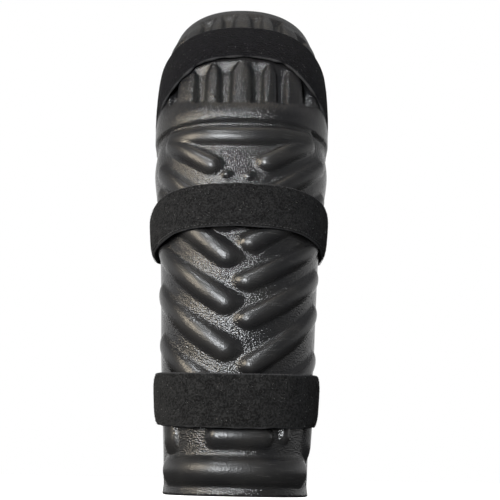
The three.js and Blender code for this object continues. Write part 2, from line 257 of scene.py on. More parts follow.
def bar_relief(bar):
    """The height of one round-ended bar over the whole map."""
    start = (bar.share * WRAP, bar.up * HEIGHT)
    run = (bar.to_share * WRAP - start[0], bar.to_up * HEIGHT - start[1])
    length = math.hypot(*run)
    to_x = FLAT_X - start[0]
    to_y = FLAT_Y - start[1]
    along_bar = np.zeros_like(FLAT_X)
    if length > 0:
        along_bar = np.clip((to_x * run[0] + to_y * run[1]) / length ** 2, 0, 1)
    away = np.hypot(to_x - along_bar * run[0], to_y - along_bar * run[1])
    inside = np.clip(1 - (2 * away / (BAR_WIDTH * bar.width)) ** 2, 0, 1)
    return BAR_HEIGHT * bar.height * inside ** BAR_ROUNDNESS * draft


bars = np.zeros_like(FLAT_X)
for bar in BARS:
    bars = np.maximum(bars, bar_relief(bar))
print("bars and buttons:", len(BARS), "highest", round(float(bars.max()), 2), "mm")

# %% [markdown]
# The knee cup has two rows of pockets with ribs left standing between them, and a round band under them. A
# pocket has sloped sides, a narrow floor, a steep lower end and a long upper slope. The ribs are domed a
# little between the pockets, because flat ribs would show one even grey instead of a highlight along each
# of them.

# %% Pockets of the knee cup and the round band under them
POCKET_DEPTH = 7.0
POCKET_WIDTH = 21.0
POCKET_FLOOR = 5.0
POCKET_SLOPE = 13.0
POCKET_LEDGE = 2.2
POCKET_BREAK = 0.6
POCKET_NARROWING = 0.30
RIB_ROUNDNESS = 1.1
RIB_DOME = 1.3
BAND_RISE = 3.0

Column = namedtuple("Column", "share width")
POCKET_COLUMNS = [
    Column(-0.500, 0.90),
    Column(-0.255, 0.90),
    Column(-0.093, 0.85),
    Column(0.076, 0.75),
    Column(0.232, 0.70),
    Column(0.450, 0.90),
]
Row = namedtuple("Row", "low high low_shift high_shift")
POCKET_ROWS = [
    Row(0.727, 0.825, 0.120, -0.020),
    Row(0.905, 0.981, 0.000, -0.110),
]


def pocket_relief(column, row):
    """The depth of one pocket: sloped sides, a narrow floor, a steep lower end and a long upper slope."""
    low = (row.low + row.low_shift * column.share ** 2) * HEIGHT
    high = (row.high + row.high_shift * column.share ** 2) * HEIGHT
    narrow = 1 - POCKET_NARROWING * ramp((high - FLAT_Y) / POCKET_SLOPE, 0.0, 0.9)
    half = POCKET_WIDTH * column.width / 2 * narrow
    aside = np.abs(FLAT_X - column.share * WRAP)
    sides = np.clip((half - aside) / (half - POCKET_FLOOR / 2), 0, 1) ** RIB_ROUNDNESS
    ledge = (FLAT_Y - low) / POCKET_LEDGE
    down = high - FLAT_Y
    slope_end = POCKET_BREAK * POCKET_SLOPE
    deepening = POCKET_BREAK + (1 - POCKET_BREAK) * (down - slope_end) / (high - low - slope_end)
    slope = np.minimum(down / POCKET_SLOPE, np.maximum(deepening, POCKET_BREAK))
    return POCKET_DEPTH * np.clip(np.minimum(np.minimum(sides, ledge), slope), 0, 1)


pockets = np.zeros_like(FLAT_X)
for row in POCKET_ROWS:
    for column in POCKET_COLUMNS:
        pockets = np.maximum(pockets, pocket_relief(column, row))

aside_pocket = np.min([np.abs(FLAT_X - column.share * WRAP) for column in POCKET_COLUMNS], axis=0)
on_cup = ramp(MAP_UP, 0.72, 0.76) * (1 - ramp(MAP_UP, 0.945, 0.975))
on_cup = on_cup * (1 - ramp(np.abs(MAP_SHARE), 0.60, 0.75))
ribs = RIB_DOME * np.clip(2 * aside_pocket / POCKET_WIDTH, 0, 1) ** 1.5 * on_cup

band_low = GROOVE + 0.5 * STEP_RUN / HEIGHT
band_high = POCKET_ROWS[0].low + POCKET_ROWS[0].low_shift * MAP_SHARE ** 2
band_place = np.clip((MAP_UP - band_low) / (band_high - band_low), 0, 1)
band = BAND_RISE * np.sin(math.pi * band_place) ** 0.9
print("pockets:", len(POCKET_ROWS) * len(POCKET_COLUMNS), "deepest", round(float(pockets.max()), 2), "mm")

# %% [markdown]
# The bars are blurred more than the knee cup, whose edges are crisper. The bottom edge also rolls out a
# little at its foot. The softened bars and pockets are kept as maps of their own, because the plastic's
# finish reads them later.

# %% Soften the map
BAR_SOFTENING = 1.0
CUP_SOFTENING = 0.6
FOOT_ROLL = 1.4
FOOT_RISE = 8.5


def soften(heights, spread):
    """Blurs a map by a bell curve, spread in millimetres."""
    reach = int(math.ceil(3 * spread / MAP_STEP))
    bell = np.exp(-0.5 * (np.arange(-reach, reach + 1) * MAP_STEP / spread) ** 2)
    bell /= bell.sum()
    padded = np.pad(heights, reach, mode="edge")
    padded = np.apply_along_axis(np.convolve, 0, padded, bell, mode="valid")
    return np.apply_along_axis(np.convolve, 1, padded, bell, mode="valid")


soft_bars = soften(bars, BAR_SOFTENING)
soft_pockets = soften(pockets, CUP_SOFTENING)
foot_roll = FOOT_ROLL * np.clip(1 - FLAT_Y / FOOT_RISE, 0, 1)
relief = soften(knee_step + band + ribs + foot_roll, CUP_SOFTENING) + soft_bars - soft_pockets
crest_map = soft_bars / BAR_HEIGHT
pocket_map = soft_pockets / POCKET_DEPTH


def read_map(heights, share, up):
    """A map's value at shares round the leg and of the height, between its samples."""
    x = np.clip((share * WRAP + WRAP) / MAP_STEP, 0, FLAT_X.shape[1] - 1.001)
    y = np.clip(up * HEIGHT / MAP_STEP, 0, FLAT_X.shape[0] - 1.001)
    i = x.astype(int)
    j = y.astype(int)
    s = x - i
    t = y - j
    low = heights[j, i] * (1 - s) + heights[j, i + 1] * s
    high = heights[j + 1, i] * (1 - s) + heights[j + 1, i + 1] * s
    return low * (1 - t) + high * t


print("softened relief from", round(float(relief.min()), 2), "to", round(float(relief.max()), 2), "mm")

# %% [markdown]
# A map only becomes a moulding when it is a closed body with a wall. The outer face gets a fine grid where
# relief shows and a coarse one under the straps, and the smooth inner face needs far fewer points. Both
# faces round over towards the rim, and a thin strip of triangles sews their borders together, so the edge
# of the shell is soft all round and the body is one closed piece.

# %% Grids for the shell
RIM_ROUND = 2.2
Span = namedtuple("Span", "start end step")
RISING_SPANS = [
    Span(0.000, 0.006, 0.5),
    Span(0.006, 0.135, 1.15),
    Span(0.135, 0.205, 3.4),
    Span(0.205, 0.478, 1.15),
    Span(0.478, 0.540, 3.4),
    Span(0.540, 0.850, 1.15),
    Span(0.850, 0.890, 2.4),
    Span(0.890, 0.988, 1.2),
    Span(0.988, 1.000, 0.5),
]
ACROSS_SPANS = [
    Span(0.000, 0.700, 1.12),
    Span(0.700, 0.980, 1.9),
    Span(0.980, 1.000, 0.5),
]
INNER_RISING = 64
INNER_ACROSS = 44


def spaced(spans, whole):
    """Places from 0 to 1, with each span's own step in millimetres of the whole."""
    places = [np.array([spans[0].start])]
    for span in spans:
        count = max(1, round((span.end - span.start) * whole / span.step))
        places.append(np.linspace(span.start, span.end, count + 1)[1:])
    return np.concatenate(places)


outer_up = spaced(RISING_SPANS, HEIGHT)
half_across = spaced(ACROSS_SPANS, WRAP)
outer_share = np.concatenate([-half_across[:0:-1], half_across])
inner_up = np.linspace(0, 1, INNER_RISING)
inner_share = np.linspace(-1, 1, INNER_ACROSS)
print("outer grid:", outer_up.size, "by", outer_share.size)
print("inner grid:", inner_up.size, "by", inner_share.size)


# %% The two faces of the shell
def rim_drop(share, up):
    """How far a face rounds away from its own side near the rim, in millimetres."""
    side = (1 - np.abs(share)) * WRAP
    end = np.minimum(up, 1 - up) * HEIGHT
    near = np.minimum(np.minimum(side, end), RIM_ROUND)
    return RIM_ROUND - np.sqrt(np.maximum(RIM_ROUND ** 2 - (RIM_ROUND - near) ** 2, 0))


def shell_face(up, share, outside):
    """One face of the shell in millimetres: the relief outside, or the smooth inner side."""
    share_grid, up_grid = np.meshgrid(share, up)
    drop = rim_drop(share_grid, up_grid)
    step = KNEE_STEP * ramp(up_grid, GROOVE, GROOVE + STEP_RUN / HEIGHT)
    if outside:
        above = read_map(relief, share_grid, up_grid) - drop
    else:
        above = -SHELL_WALL - (POCKET_DEPTH - KNEE_STEP) * step / KNEE_STEP + drop
    points = on_wrap(share_grid, up_grid, above)
    points[0, :, 2] = 0.0
    return points


outer_face = shell_face(outer_up, outer_share, True)
inner_face = shell_face(inner_up, inner_share, False)
print("shell depth in millimetres:", round(float(np.ptp(outer_face[..., 1])), 1))


# %% Sewing grids into bodies
def grid_quads(rows, columns, first=0, close_rows=False, close_columns=False):
    """The quads of a grid of points that are numbered row by row."""
    row_count = rows if close_rows else rows - 1
    column_count = columns if close_columns else columns - 1
    row = np.arange(row_count)[:, None]
    column = np.arange(column_count)[None, :]
    next_row = (row + 1) % rows
    next_column = (column + 1) % columns
    corners = [
        row * columns + column,
        row * columns + next_column,
        next_row * columns + next_column,
        next_row * columns + column,
    ]
    return (np.stack(np.broadcast_arrays(*corners), -1).reshape(-1, 4) + first).tolist()


def sew(first_edge, second_edge, first_places, second_places):
    """Triangles between two rows of points; the row whose next point comes sooner steps on."""
    faces = []
    i = 0
    j = 0
    while i < len(first_edge) - 1 or j < len(second_edge) - 1:
        first_next = first_places[i + 1] if i < len(first_edge) - 1 else math.inf
        second_next = second_places[j + 1] if j < len(second_edge) - 1 else math.inf
        if first_next <= second_next:
            faces.append((first_edge[i], first_edge[i + 1], second_edge[j]))
            i += 1
        else:
            faces.append((first_edge[i], second_edge[j + 1], second_edge[j]))
            j += 1
    return faces


def to_metres(points):
    """Millimetres of the wrap to metres of the frame."""
    return (points - np.array([0.0, ORIGIN_BACK, 0.0])) * METRES


def make_body(name, points, faces):
    """A closed, smooth-shaded mesh object with its faces turned outwards."""
    mesh = bpy.data.meshes.new(name)
    mesh.from_pydata(to_metres(points).tolist(), [], faces)
    mesh.update()
    body = bmesh.new()
    body.from_mesh(mesh)
    bmesh.ops.recalc_face_normals(body, faces=body.faces)
    body.to_mesh(mesh)
    body.free()
    mesh.polygons.foreach_set("use_smooth", [True] * len(mesh.polygons))
    piece = bpy.data.objects.new(name, mesh)
    bpy.context.scene.collection.objects.link(piece)
    return piece


def note_values(piece, name, values):
    """Stores one number for each point of a piece, for its material to read."""
    layer = piece.data.attributes.new(name, "FLOAT", "POINT")
    layer.data.foreach_set("value", np.asarray(values, dtype=np.float32).ravel())


def triangles(piece):
    return sum(len(face.vertices) - 2 for face in piece.data.polygons)


# %% The moulded shell
def moulded_shell():
    """The whole shell: relief face, inner side and the sewn rim."""
    outer_count = outer_up.size * outer_share.size
    points = np.concatenate([outer_face.reshape(-1, 3), inner_face.reshape(-1, 3)])
    faces = grid_quads(outer_up.size, outer_share.size)
    faces += grid_quads(inner_up.size, inner_share.size, first=outer_count)
    outer = np.arange(outer_count).reshape(outer_up.size, outer_share.size)
    inner = np.arange(inner_face.shape[0] * inner_face.shape[1]).reshape(inner_face.shape[:2]) + outer_count
    for end in (0, -1):
        faces += sew(outer[end].tolist(), inner[end].tolist(), outer_share, inner_share)
        faces += sew(outer[:, end].tolist(), inner[:, end].tolist(), outer_up, inner_up)
    piece = make_body("moulded_shell", points, faces)
    share_grid, up_grid = np.meshgrid(outer_share, outer_up)
    inner_zero = np.zeros(inner_face.shape[0] * inner_face.shape[1])
    for name, heights in (("crest", crest_map), ("pocket", pocket_map)):
        note_values(piece, name, np.concatenate([read_map(heights, share_grid, up_grid).ravel(), inner_zero]))
    flat_x = np.concatenate([share_grid.ravel() * WRAP, inner_zero])
    flat_y = np.concatenate([up_grid.ravel() * HEIGHT, inner_zero])
    note_values(piece, "flat_x", flat_x * METRES)
    note_values(piece, "flat_y", flat_y * METRES)
    return piece


shell = moulded_shell()
print("moulded shell:", triangles(shell), "triangles")

# %% [markdown]
# Each strap is a flat band of loop webbing that lies over the bars and closes on itself behind the calf.
# Its middle line is a smooth curve of heights round the leg, and at each station the band's width runs
# along the surface, square to that line. The real band isn't a ruled strip: its selvedges are round, its
# face is slightly crowned, and its edges wander. A few slow waves with no common period give that. At the
# sides the edges of a tight strap curl in towards the leg, and the strap can hang slack at one side, so
# each strap has a curl and a slack of its own.

# %% Strap sizes
STRAP_WIDTH = 45.0
STRAP_THICKNESS = 2.6
CLEARANCE = 0.3
DOME_LIFT = 1.6
STRAP_PLACES = [0, 0.35, 0.72, 1, 2]
TAIL_START = 1.25
TAIL_END = 1.75
TAIL_FADE = 0.012
STATIONS = 340
FACE_POINTS = 17
EDGE_POINTS = 5

Strap = namedtuple("Strap", "name width lift heights lifts curl slack ripple lower_ripple seed")
STRAPS = [
    Strap(
        "knee_strap", 1.03, KNEE_STEP + DOME_LIFT,
        [0.874, 0.868, 0.830, 0.802, 0.820], [1, 1, 0.95, 0.78, 0],
        0.5, 0.0, 0.25, 1.3, 11,
    ),
    Strap(
        "calf_strap", 0.90, BAR_HEIGHT,
        [0.514, 0.509, 0.490, 0.487, 0.500], [1, 0.96, 0.68, 0.5, 0.5],
        3.0, 3.4, 0.30, 0.3, 23,
    ),
    Strap(
        "ankle_strap", 1.00, BAR_HEIGHT,
        [0.160, 0.163, 0.170, 0.176, 0.174], [1, 0.96, 0.66, 0.5, 0.5],
        3.2, 1.2, 0.25, 0.4, 37,
    ),
]


def strap_middle(strap, share):
    """The height of a strap's middle line as a share of the pad's height."""
    around = np.abs((share + 2) % 4 - 2)
    return along(STRAP_PLACES, strap.heights, around)


def strap_rise(strap, share):
    """How far the strap's inner face stands off the wrap, in millimetres."""
    around = (share + 2) % 4 - 2
    loose = strap.slack * ramp(-around, 0.55, 0.95) * (1 - ramp(-around, 0.98, 1.25))
    return strap.lift * along(STRAP_PLACES, strap.lifts, np.abs(around)) + CLEARANCE + loose


def tail_layer(share):
    """1 where the free end lies on the strap, and 0 elsewhere."""
    return ramp(share, TAIL_START, TAIL_START + TAIL_FADE) - ramp(share, TAIL_END - TAIL_FADE, TAIL_END)


def edge_curl(strap, share, place):
    """How far the edges curl in towards the leg at the sides; place runs from -1 to 1 across the strap."""
    around = np.abs((share + 2) % 4 - 2)
    return strap.curl * ramp(around, 0.4, 1.0) * np.abs(place) ** 5


def strap_width_way(strap, share, step=0.01):
    """How the shares change for each millimetre across the strap."""
    middle = strap_middle(strap, share)
    before = wrap_point(share - step, strap_middle(strap, share - step))
    after = wrap_point(share + step, strap_middle(strap, share + step))
    run = after - before
    run /= np.linalg.norm(run, axis=-1, keepdims=True)
    aside = np.cross(wrap_normal(share, middle), run)
    aside /= np.linalg.norm(aside, axis=-1, keepdims=True)
    per_share = (wrap_point(share + step, middle) - wrap_point(share - step, middle)) / (2 * step)
    per_up = (wrap_point(share, middle + step) - wrap_point(share, middle - step)) / (2 * step)
    uu = (per_share * per_share).sum(-1)
    vv = (per_up * per_up).sum(-1)
    uv = (per_share * per_up).sum(-1)
    au = (aside * per_share).sum(-1)
    av = (aside * per_up).sum(-1)
    det = uu * vv - uv * uv
    return (au * vv - av * uv) / det, (av * uu - au * uv) / det


print("straps:", [strap.name for strap in STRAPS], "width", STRAP_WIDTH, "mm")


# %% The band of a strap
def slow_waves(place, seed, periods=(3.1, 5.3, 8.9, 14.3)):
    """A sum of a few waves round the strap, between -1 and 1, that closes on itself."""
    draws = np.random.default_rng(seed)
    total = np.zeros_like(place)
    for period in periods:
        waves = round(period * 2)
        total += np.sin(math.pi / 2 * waves * place + draws.uniform(0, 2 * math.pi)) / len(periods)
    return total


def strap_profile():
    """Rows of (share of the half width, share of the thickness, share of the edge's round), once round."""
    face = np.sin(np.linspace(-math.pi / 2, math.pi / 2, FACE_POINTS + 2))[1:-1]
    turn = np.linspace(-math.pi / 2, math.pi / 2, EDGE_POINTS)
    right = [(1.0, 0.5 + 0.5 * math.sin(angle), math.cos(angle)) for angle in turn]
    left = [(-1.0, 0.5 - 0.5 * math.sin(angle), math.cos(angle)) for angle in turn]
    under = [(place, 0.0, 0.0) for place in face]
    over = [(place, 1.0, 0.0) for place in face[::-1]]
    return under + right + over + left


def strap_band(strap):
    """The band in millimetres as a grid of stations by profile points, with each point's place across it."""
    share = np.linspace(-2, 2, STATIONS, endpoint=False)
    middle = strap_middle(strap, share)
    way_share, way_up = strap_width_way(strap, share)
    profile = np.array(strap_profile())
    on_tail = tail_layer(share)[:, None]
    thickness = STRAP_THICKNESS * (1 + on_tail)
    edge_round = thickness / 2
    half = STRAP_WIDTH * strap.width / 2
    sway = strap.ripple * slow_waves(share, strap.seed)[:, None]
    lower = strap.lower_ripple * slow_waves(share, strap.seed + 1, (6.1, 9.7, 15.1))[:, None]
    side, height, roundness = (profile[None, :, column] for column in range(3))
    across = side * (half - edge_round) + roundness * side * edge_round
    across = across + sway + lower * np.clip(-side, 0, 1)
    crown = 0.25 * (1 - side ** 2)
    lift = height * (thickness + crown)
    above = strap_rise(strap, share)[:, None] + lift - edge_curl(strap, share[:, None], side)
    place_share = share[:, None] + way_share[:, None] * across
    place_up = middle[:, None] + way_up[:, None] * across
    return place_share, place_up, above, across, share


def webbing(strap):
    """One strap as a closed loop of webbing."""
    place_share, place_up, above, across, share = strap_band(strap)
    points = on_wrap(place_share, place_up, above)
    rows, columns = place_share.shape
    faces = grid_quads(rows, columns, close_rows=True, close_columns=True)
    piece = make_body(strap.name + "_webbing", points.reshape(-1, 3), faces)
    steps = np.linalg.norm(np.diff(wrap_point(share, strap_middle(strap, share)), axis=0), axis=1)
    length = np.concatenate([[0.0], np.cumsum(steps)])
    note_values(piece, "across", across / (STRAP_WIDTH * strap.width) * 2)
    note_values(piece, "flat_x", np.broadcast_to(length[:, None], across.shape) * METRES)
    note_values(piece, "flat_y", across * METRES)
    return piece


straps = {strap.name: webbing(strap) for strap in STRAPS}
print("webbing:", {name: triangles(piece) for name, piece in straps.items()})

# %% [markdown]
# Loop webbing is covered in a soft pile, and it is the pile that blurs its outline. A bump alone leaves the
# edge of the band razor sharp, so short slanted hairs are planted over the outer face as one joined mesh
# for each strap. Every hair is a closed spike with its foot sunk in the band. The random draws have fixed
# seeds, so the same strap comes out each time.

# %% Pile on the straps
PILE_COUNT = 15000
PILE_LENGTH = 1.3
PILE_RADIUS = 0.085


def strap_surface(strap, share, across):
    """Points on a strap's outer face, and the directions out, along and across there."""
    middle = strap_middle(strap, share)
    way_share, way_up = strap_width_way(strap, share)
    place_share = share + way_share * across
    place_up = middle + way_up * across
    on_tail = tail_layer(share)
    place = 2 * across / (STRAP_WIDTH * strap.width)
    above = strap_rise(strap, share) + STRAP_THICKNESS * (1 + on_tail) - edge_curl(strap, share, place)
    out = wrap_normal(place_share, place_up)
    points = wrap_point(place_share, place_up) + above[:, None] * out
    ahead = wrap_point(place_share + 0.004, place_up) - wrap_point(place_share - 0.004, place_up)
    ahead /= np.linalg.norm(ahead, axis=1, keepdims=True)
    return points, out, ahead, np.cross(out, ahead)


def strap_spots(strap, count, draws):
    """Random spots on a strap's outer face."""
    share = draws.uniform(-2, 2, count)
    across = (STRAP_WIDTH * strap.width - 1.5) * draws.uniform(-0.5, 0.5, count)
    return strap_surface(strap, share, across)


def hairs(name, feet, directions, bends, length, radius, knots):
    """Closed three-sided hairs: each starts at its foot, bends on the way and ends in a point."""
    count = len(feet)
    side = np.cross(directions, bends)
    side /= np.linalg.norm(side, axis=1, keepdims=True)
    other = np.cross(directions, side)
    rings = []
    for knot in range(knots):
        t = knot / knots
        centre = feet + (t * length)[:, None] * directions + (t * t * length)[:, None] * bends
        size = radius * (1 - 0.5 * t)
        for corner in range(3):
            angle = 2 * math.pi * corner / 3
            rings.append(centre + size * (math.cos(angle) * side + math.sin(angle) * other))
    rings.append(feet + length[:, None] * directions + length[:, None] * bends)
    points = np.stack(rings, axis=1)
    pattern = [(0, 2, 1)]
    for knot in range(knots - 1):
        for corner in range(3):
            here = 3 * knot + corner
            beside = 3 * knot + (corner + 1) % 3
            pattern.append((here, beside, beside + 3))
            pattern.append((here, beside + 3, here + 3))
    tip = 3 * knots
    for corner in range(3):
        pattern.append((tip - 3 + corner, tip - 3 + (corner + 1) % 3, tip))
    faces = (np.array(pattern)[None] + np.arange(count)[:, None, None] * (tip + 1)).reshape(-1, 3)
    return make_body(name, points.reshape(-1, 3), faces.tolist())


def unit(vectors):
    return vectors / np.linalg.norm(vectors, axis=1, keepdims=True)


def strap_pile(strap):
    """The soft black pile of one strap."""
    draws = np.random.default_rng(strap.seed + 100)
    feet, out, ahead, beside = strap_spots(strap, PILE_COUNT, draws)
    slant = draws.normal(0, 0.55, (PILE_COUNT, 2))
    directions = unit(out + slant[:, :1] * ahead + slant[:, 1:] * beside)
    curl = draws.normal(0, 0.35, (PILE_COUNT, 2))
    bends = curl[:, :1] * ahead + curl[:, 1:] * beside - 0.15 * out
    length = PILE_LENGTH * draws.uniform(0.5, 1.0, PILE_COUNT)
    return hairs(strap.name + "_pile", feet - 0.3 * out, directions, bends, length, PILE_RADIUS, 1)


pile = {strap.name: strap_pile(strap) for strap in STRAPS}
print("pile:", {name: triangles(piece) for name, piece in pile.items()})

# %% [markdown]
# A strap's free end is sewn down behind the calf with a box and a cross, which is the usual way to hold
# webbing. The back isn't seen in the photograph, so that is a guess. A row of small stitches also runs
# along the lower edge of the calf strap, and that one shows. Each stitch is a short thick hair that lies
# along its line and dips at its far end.

# %% Stitches
STITCH_PITCH = 3.0
STITCH_LENGTH = 1.9
STITCH_RADIUS = 0.32
STITCH_INSET = 2.4
BOX_START = 0.03
BOX_SHARE = 0.16
HEM_END = 1.24


def sewn_line(strap, start, end):
    """Spots and headings of stitches from one (share, across) to another on a strap."""
    gap = np.array(end) - np.array(start)
    length = math.hypot(gap[0] * WRAP, gap[1])
    count = max(2, round(length / STITCH_PITCH))
    t = (np.arange(count) + 0.5) / count
    points, out, ahead, beside = strap_surface(strap, start[0] + t * gap[0], start[1] + t * gap[1])
    heading = unit(gap[0] * WRAP * ahead + gap[1] * beside)
    return points + 0.1 * out - 0.5 * STITCH_LENGTH * heading, heading, out


def strap_stitches(strap):
    """The box that sews the tail down behind the calf, and the hem row of the calf strap."""
    edge = STRAP_WIDTH * strap.width / 2 - STITCH_INSET
    near = TAIL_START + BOX_START
    far = near + BOX_SHARE
    corners = [(near, -edge), (far, -edge), (far, edge), (near, edge), (near, -edge)]
    lines = list(zip(corners, corners[1:])) + [((near, -edge), (far, edge)), ((near, edge), (far, -edge))]
    if strap.name == "calf_strap":
        lines.append(((-HEM_END, -edge), (HEM_END, -edge)))
    rows = [sewn_line(strap, start, end) for start, end in lines]
    feet, heading, out = (np.concatenate(parts) for parts in zip(*rows))
    length = np.full(len(feet), STITCH_LENGTH)
    bends = -0.12 * out + 0.001 * heading
    return hairs(strap.name + "_stitches", feet, heading, bends, length, STITCH_RADIUS, 5)


stitches = {strap.name: strap_stitches(strap) for strap in STRAPS}
print("stitches:", {name: triangles(piece) for name, piece in stitches.items()})

# %% [markdown]
# Pile catches pale lint, and a few specks of it are what make black webbing look like cloth. The fibres lie
# almost flat, so they are hairs that start along the surface and swerve.

# %% Lint
LINT_COUNT = 420
LINT_LENGTH = 1.3
LINT_RADIUS = 0.09


def strap_lint(strap):
    """Pale lint that has caught in the pile, lying almost flat."""
    draws = np.random.default_rng(strap.seed + 200)
    feet, out, ahead, beside = strap_spots(strap, LINT_COUNT, draws)
    turn = draws.uniform(0, 2 * math.pi, LINT_COUNT)
    lying = np.cos(turn)[:, None] * ahead + np.sin(turn)[:, None] * beside
    directions = unit(lying + 0.35 * out)
    swerve = draws.normal(0, 0.5, LINT_COUNT)[:, None] * np.cross(out, lying)
    bends = swerve - 0.30 * out
    length = LINT_LENGTH * draws.uniform(0.3, 1.0, LINT_COUNT)
    return hairs(strap.name + "_lint", feet + 0.35 * out, directions, bends, length, LINT_RADIUS, 4)


lint = {strap.name: strap_lint(strap) for strap in STRAPS}
print("lint:", {name: triangles(piece) for name, piece in lint.items()})

# %% [markdown]
# Shader maths reads best as plain expressions. One small class wraps a socket and turns the usual operators
# into Math nodes, and one method adds any other node: its settings are set first, because they can change
# which sockets it has, and then its sockets get values or links.

# %% A small shader language
class Value:
    """A socket of numbers; its operators add Math nodes."""

    def __init__(self, finish, socket):
        self.finish = finish
        self.socket = socket

    def maths(self, operation, *parts):
        return self.finish.add("ShaderNodeMath", {"operation": operation}, dict(enumerate(parts)))

    def __add__(self, other):
        return self.maths("ADD", self, other)

    def __rsub__(self, other):
        return self.maths("SUBTRACT", other, self)

    def __mul__(self, other):
        return self.maths("MULTIPLY", self, other)

    __radd__ = __add__
    __rmul__ = __mul__

    def between(self, low, high):
        """0 below low, 1 above high, smooth between."""
        inputs = {"Value": self, "From Min": low, "From Max": high}
        return self.finish.add("ShaderNodeMapRange", {"interpolation_type": "SMOOTHSTEP"}, inputs)


class Finish:
    """A material that is being made, with its Principled shader."""

    def __init__(self, name):
        self.material = bpy.data.materials.new(name)
        self.material.use_nodes = True
        self.nodes = self.material.node_tree.nodes
        self.links = self.material.node_tree.links
        self.shader = self.nodes["Principled BSDF"]

    def add(self, kind, settings=None, inputs=None, output=0):
        """Adds a node: settings first, then the values or links of its sockets."""
        node = self.nodes.new(kind)
        for name, value in (settings or {}).items():
            setattr(node, name, value)
        for name, value in (inputs or {}).items():
            self.feed(node.inputs[name], value)
        return Value(self, node.outputs[output])

    def feed(self, socket, value):
        if isinstance(value, Value):
            self.links.new(value.socket, socket)
        else:
            socket.default_value = value

    def set(self, name, value):
        """Sets or links one socket of the shader."""
        self.feed(self.shader.inputs[name], value)

    def place(self):
        return self.add("ShaderNodeTexCoord", output="Object")

    def noted(self, name):
        return self.add("ShaderNodeAttribute", {"attribute_name": name}, output="Fac")

    def flat(self):
        """The place on the flat map, in metres."""
        inputs = {"X": self.noted("flat_x"), "Y": self.noted("flat_y")}
        return self.add("ShaderNodeCombineXYZ", {}, inputs)

    def noise(self, place, scale, detail=2.0, roughness=0.5):
        inputs = {"Vector": place, "Scale": scale, "Detail": detail, "Roughness": roughness}
        return self.add("ShaderNodeTexNoise", {}, inputs, "Fac")

    def cells(self, place, scale):
        """The distance to the middle of the nearest of many scattered cells."""
        inputs = {"Vector": place, "Scale": scale}
        return self.add("ShaderNodeTexVoronoi", {"feature": "F1"}, inputs, "Distance")

    def stretched(self, place, factors, turn=0.0):
        inputs = {"Vector": place, "Rotation": (0.0, 0.0, turn), "Scale": factors}
        return self.add("ShaderNodeMapping", {}, inputs)

    def mixed(self, factor, first, second):
        """A colour between two others."""
        return self.add("ShaderNodeMix", {"data_type": "RGBA"}, {0: factor, 6: first, 7: second}, 2)

    def bump(self, height, distance, strength=1.0, under=None):
        inputs = {"Height": height, "Distance": distance, "Strength": strength}
        if under is not None:
            inputs["Normal"] = under
        return self.add("ShaderNodeBump", {}, inputs)


print("shader language ready")

# %% [markdown]
# The shell is moulded black plastic with a pebble grain. The grain is far too fine to model, so it is a
# bump: a field of low cells about one and a half millimetres wide, which breaks the light on the flats into
# sparkle. The size of the cells matters more than their height. Cells about as small as a pixel of the
# picture blur into an even grey, and a deeper bump only blurs them more. On the crests of the bars the
# grain fades and the plastic is rougher instead, so each bar carries one soft streak. Full grain there would
# break the streak up and look like crumpled foil.

# %% Black grained plastic
GRAIN_CELLS = 680.0
GRAIN_HEIGHT = 0.00038
GRAIN_FADE = 0.70
PLASTIC_ROUGHNESS = 0.13
CREST_ROUGHNESS = 0.15


def shell_finish():
    finish = Finish("grained_black_plastic")
    place = finish.place()
    flat = finish.flat()
    crest = finish.noted("crest")
    pocket = finish.noted("pocket")
    cell = finish.cells(place, GRAIN_CELLS)
    pebbles = cell * cell
    fine = finish.noise(place, 1100.0, 1.0)
    patches = finish.noise(place, 38.0, 3.0)
    smears = finish.noise(place, 90.0, 3.0)
    scratches = finish.noise(finish.stretched(flat, (40.0, 2600.0, 1.0), 0.38), 1.0, 1.0).between(0.66, 0.74)
    right_side = finish.noted("flat_x").between(0.004, 0.020)
    marks = scratches * right_side * crest.between(0.35, 0.9)
    dust = finish.noise(place, 900.0, 2.0).between(0.60, 0.78) * pocket.between(0.3, 1.0)
    base = finish.mixed(patches.between(0.35, 0.70), (0.0095, 0.0095, 0.0102, 1), (0.0150, 0.0146, 0.0144, 1))
    worn = finish.mixed(marks * 0.5 + dust * 0.35, base, (0.085, 0.083, 0.080, 1))
    finish.set("Base Color", worn)
    roughness = PLASTIC_ROUGHNESS + patches * 0.06 + smears * 0.06 + pocket * 0.05 + marks * 0.15
    finish.set("Roughness", roughness + crest * CREST_ROUGHNESS)
    finish.set("Specular IOR Level", 0.5)
    depth = 1.0 - crest.between(0.05, 0.6) * GRAIN_FADE
    grain = finish.bump((pebbles + fine * 0.15) * depth, GRAIN_HEIGHT)
    lines = finish.bump(1.0 - marks, 0.0001, 0.5, grain)
    finish.set("Normal", lines)
    return finish.material


shell.data.materials.append(shell_finish())
print("finish:", shell.data.materials[0].name)
